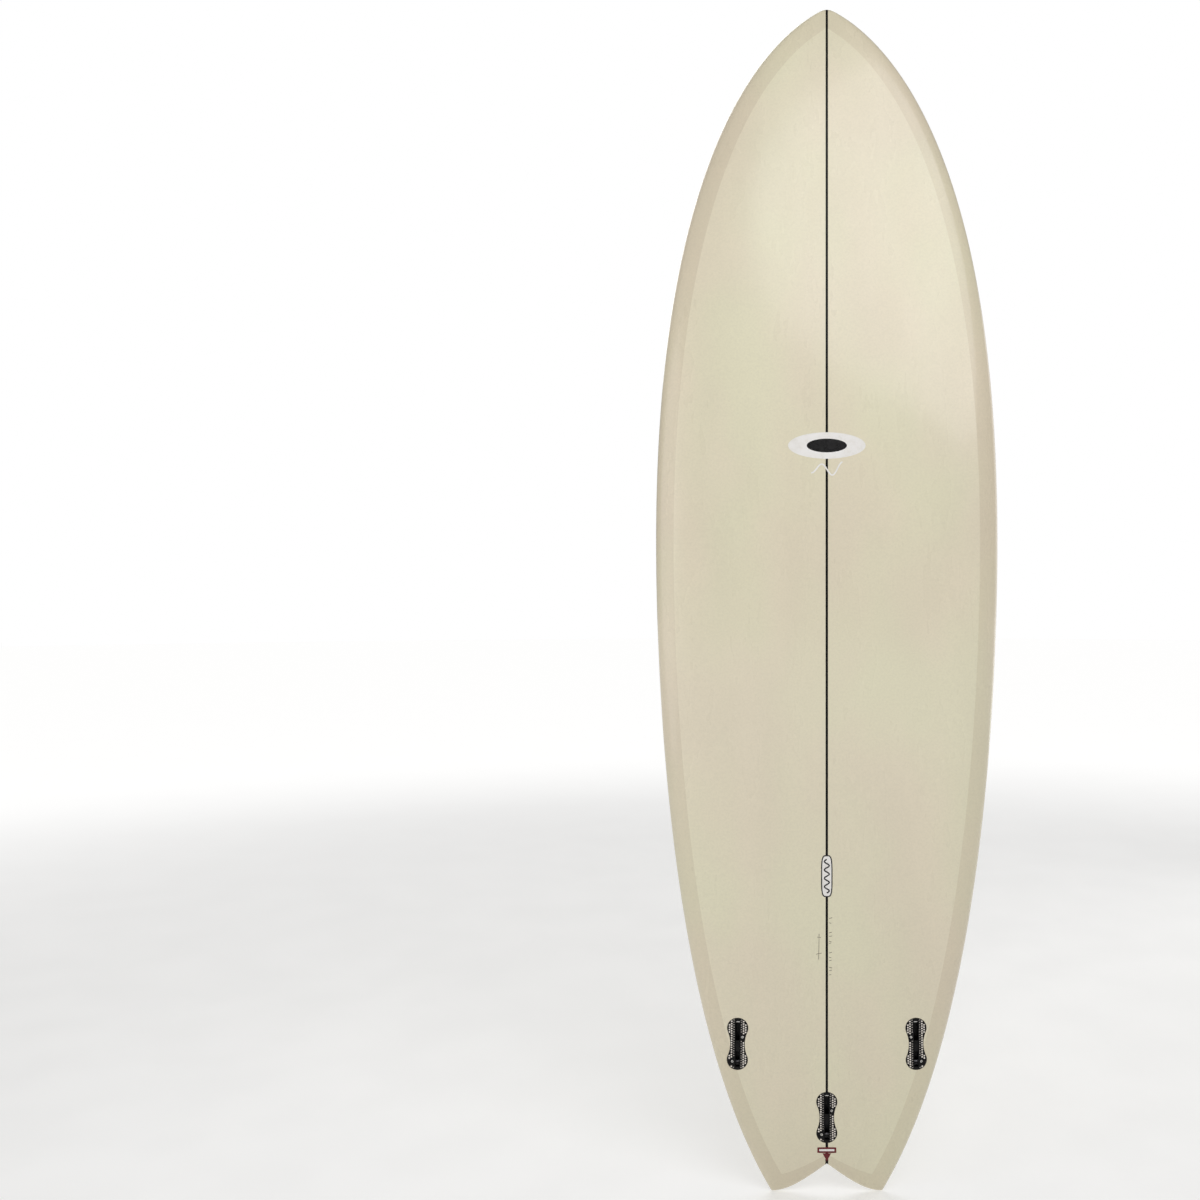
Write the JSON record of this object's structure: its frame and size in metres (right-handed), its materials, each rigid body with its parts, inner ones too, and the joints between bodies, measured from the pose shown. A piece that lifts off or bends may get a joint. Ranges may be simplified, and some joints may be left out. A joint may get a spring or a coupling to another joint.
{
  "type": "surfboard",
  "caption": "Swallow-tail mid-length surfboard with a tinted laminate, a dark stringer, slotted fin boxes in the bottom and a leash plug in the deck.",
  "frame": {"origin": "on the line of the two tail tips, midway between them, in the plane that the bottom touches where its rocker is flat: where the wall of an upright rack meets its floor", "axes": "+Z from tail to nose, +Y out of the bottom, -Y out of the deck, +X to the rider's right"},
  "size_m": [0.5714, 0.1269, 2.032],
  "materials": {
    "foam": "matte, fine-celled",
    "stringer": "black, satin",
    "laminate": "polished cream resin over fibreglass",
    "box_plastic": "black, satin, moulded",
    "steel": "bright stainless",
    "rubber": "matte grey",
    "print_white": "white print under resin",
    "print_red": "red print under resin"
  },
  "bodies": {
    "root": {"foam_core_left": "foam", "foam_core_right": "foam", "stringer": "stringer", "bottom_laminate": "laminate", "deck_laminate": "laminate", "fin_box_left": "box_plastic", "fin_box_left_hook_pin": "steel", "fin_box_left_spring_pad": "rubber", "fin_box_right": "box_plastic", "fin_box_right_hook_pin": "steel", "fin_box_right_spring_pad": "rubber", "fin_box_center": "box_plastic", "fin_box_center_hook_pin": "steel", "fin_box_center_spring_pad": "rubber", "leash_plug": "box_plastic", "leash_plug_pin": "steel", "deck_badge": "print_white", "bottom_badge": "print_white", "stringer_mark": "print_white", "tail_label": "print_red"},
    "fin_box_left_roller": {"fin_box_left_roller": "steel"},
    "fin_box_left_screw_front": {"fin_box_left_screw_front": "steel"},
    "fin_box_left_screw_rear": {"fin_box_left_screw_rear": "steel"},
    "fin_box_right_roller": {"fin_box_right_roller": "steel"},
    "fin_box_right_screw_front": {"fin_box_right_screw_front": "steel"},
    "fin_box_right_screw_rear": {"fin_box_right_screw_rear": "steel"},
    "fin_box_center_roller": {"fin_box_center_roller": "steel"},
    "fin_box_center_screw_front": {"fin_box_center_screw_front": "steel"},
    "fin_box_center_screw_rear": {"fin_box_center_screw_rear": "steel"}
  },
  "joints": [
    {"name": "fin_box_left_roller_push", "type": "slide", "parent": "root", "child": "fin_box_left_roller", "axis": [-0.0174, -0.0882, -0.9959], "range_m": [0, 0.0015], "stiffness_N_per_m": 8000, "deforming": ["fin_box_left_spring_pad"]},
    {"name": "fin_box_left_screw_front_turn", "type": "hinge", "parent": "root", "child": "fin_box_left_screw_front", "pos_m": [-0.14056, -0.02343, 0.27155], "axis": [0.2881, 0.9534, -0.0895], "range_deg": [-1050, 0]},
    {"name": "fin_box_left_screw_rear_turn", "type": "hinge", "parent": "root", "child": "fin_box_left_screw_rear", "pos_m": [-0.15814, -0.0275, 0.22975], "axis": [-0.3297, 0.9409, -0.0776], "range_deg": [-1050, 0]},
    {"name": "fin_box_right_roller_push", "type": "slide", "parent": "root", "child": "fin_box_right_roller", "axis": [0.0174, -0.0882, -0.9959], "range_m": [0, 0.0015], "stiffness_N_per_m": 8000, "deforming": ["fin_box_right_spring_pad"]},
    {"name": "fin_box_right_screw_front_turn", "type": "hinge", "parent": "root", "child": "fin_box_right_screw_front", "pos_m": [0.14056, -0.02343, 0.27155], "axis": [-0.2881, 0.9534, -0.0895], "range_deg": [-1050, 0]},
    {"name": "fin_box_right_screw_rear_turn", "type": "hinge", "parent": "root", "child": "fin_box_right_screw_rear", "pos_m": [0.15814, -0.0275, 0.22975], "axis": [0.3297, 0.9409, -0.0776], "range_deg": [-1050, 0]},
    {"name": "fin_box_center_roller_push", "type": "slide", "parent": "root", "child": "fin_box_center_roller", "axis": [0, -0.1075, -0.9942], "range_m": [0, 0.0015], "stiffness_N_per_m": 8000, "deforming": ["fin_box_center_spring_pad"]},
    {"name": "fin_box_center_screw_front_turn", "type": "hinge", "parent": "root", "child": "fin_box_center_screw_front", "pos_m": [-0.00822, -0.0355, 0.1437], "axis": [-0.309, 0.9455, -0.1022], "range_deg": [-1050, 0]},
    {"name": "fin_box_center_screw_rear_turn", "type": "hinge", "parent": "root", "child": "fin_box_center_screw_rear", "pos_m": [0.00862, -0.04005, 0.10165], "axis": [0.309, 0.9455, -0.1022], "range_deg": [-1050, 0]}
  ]
}
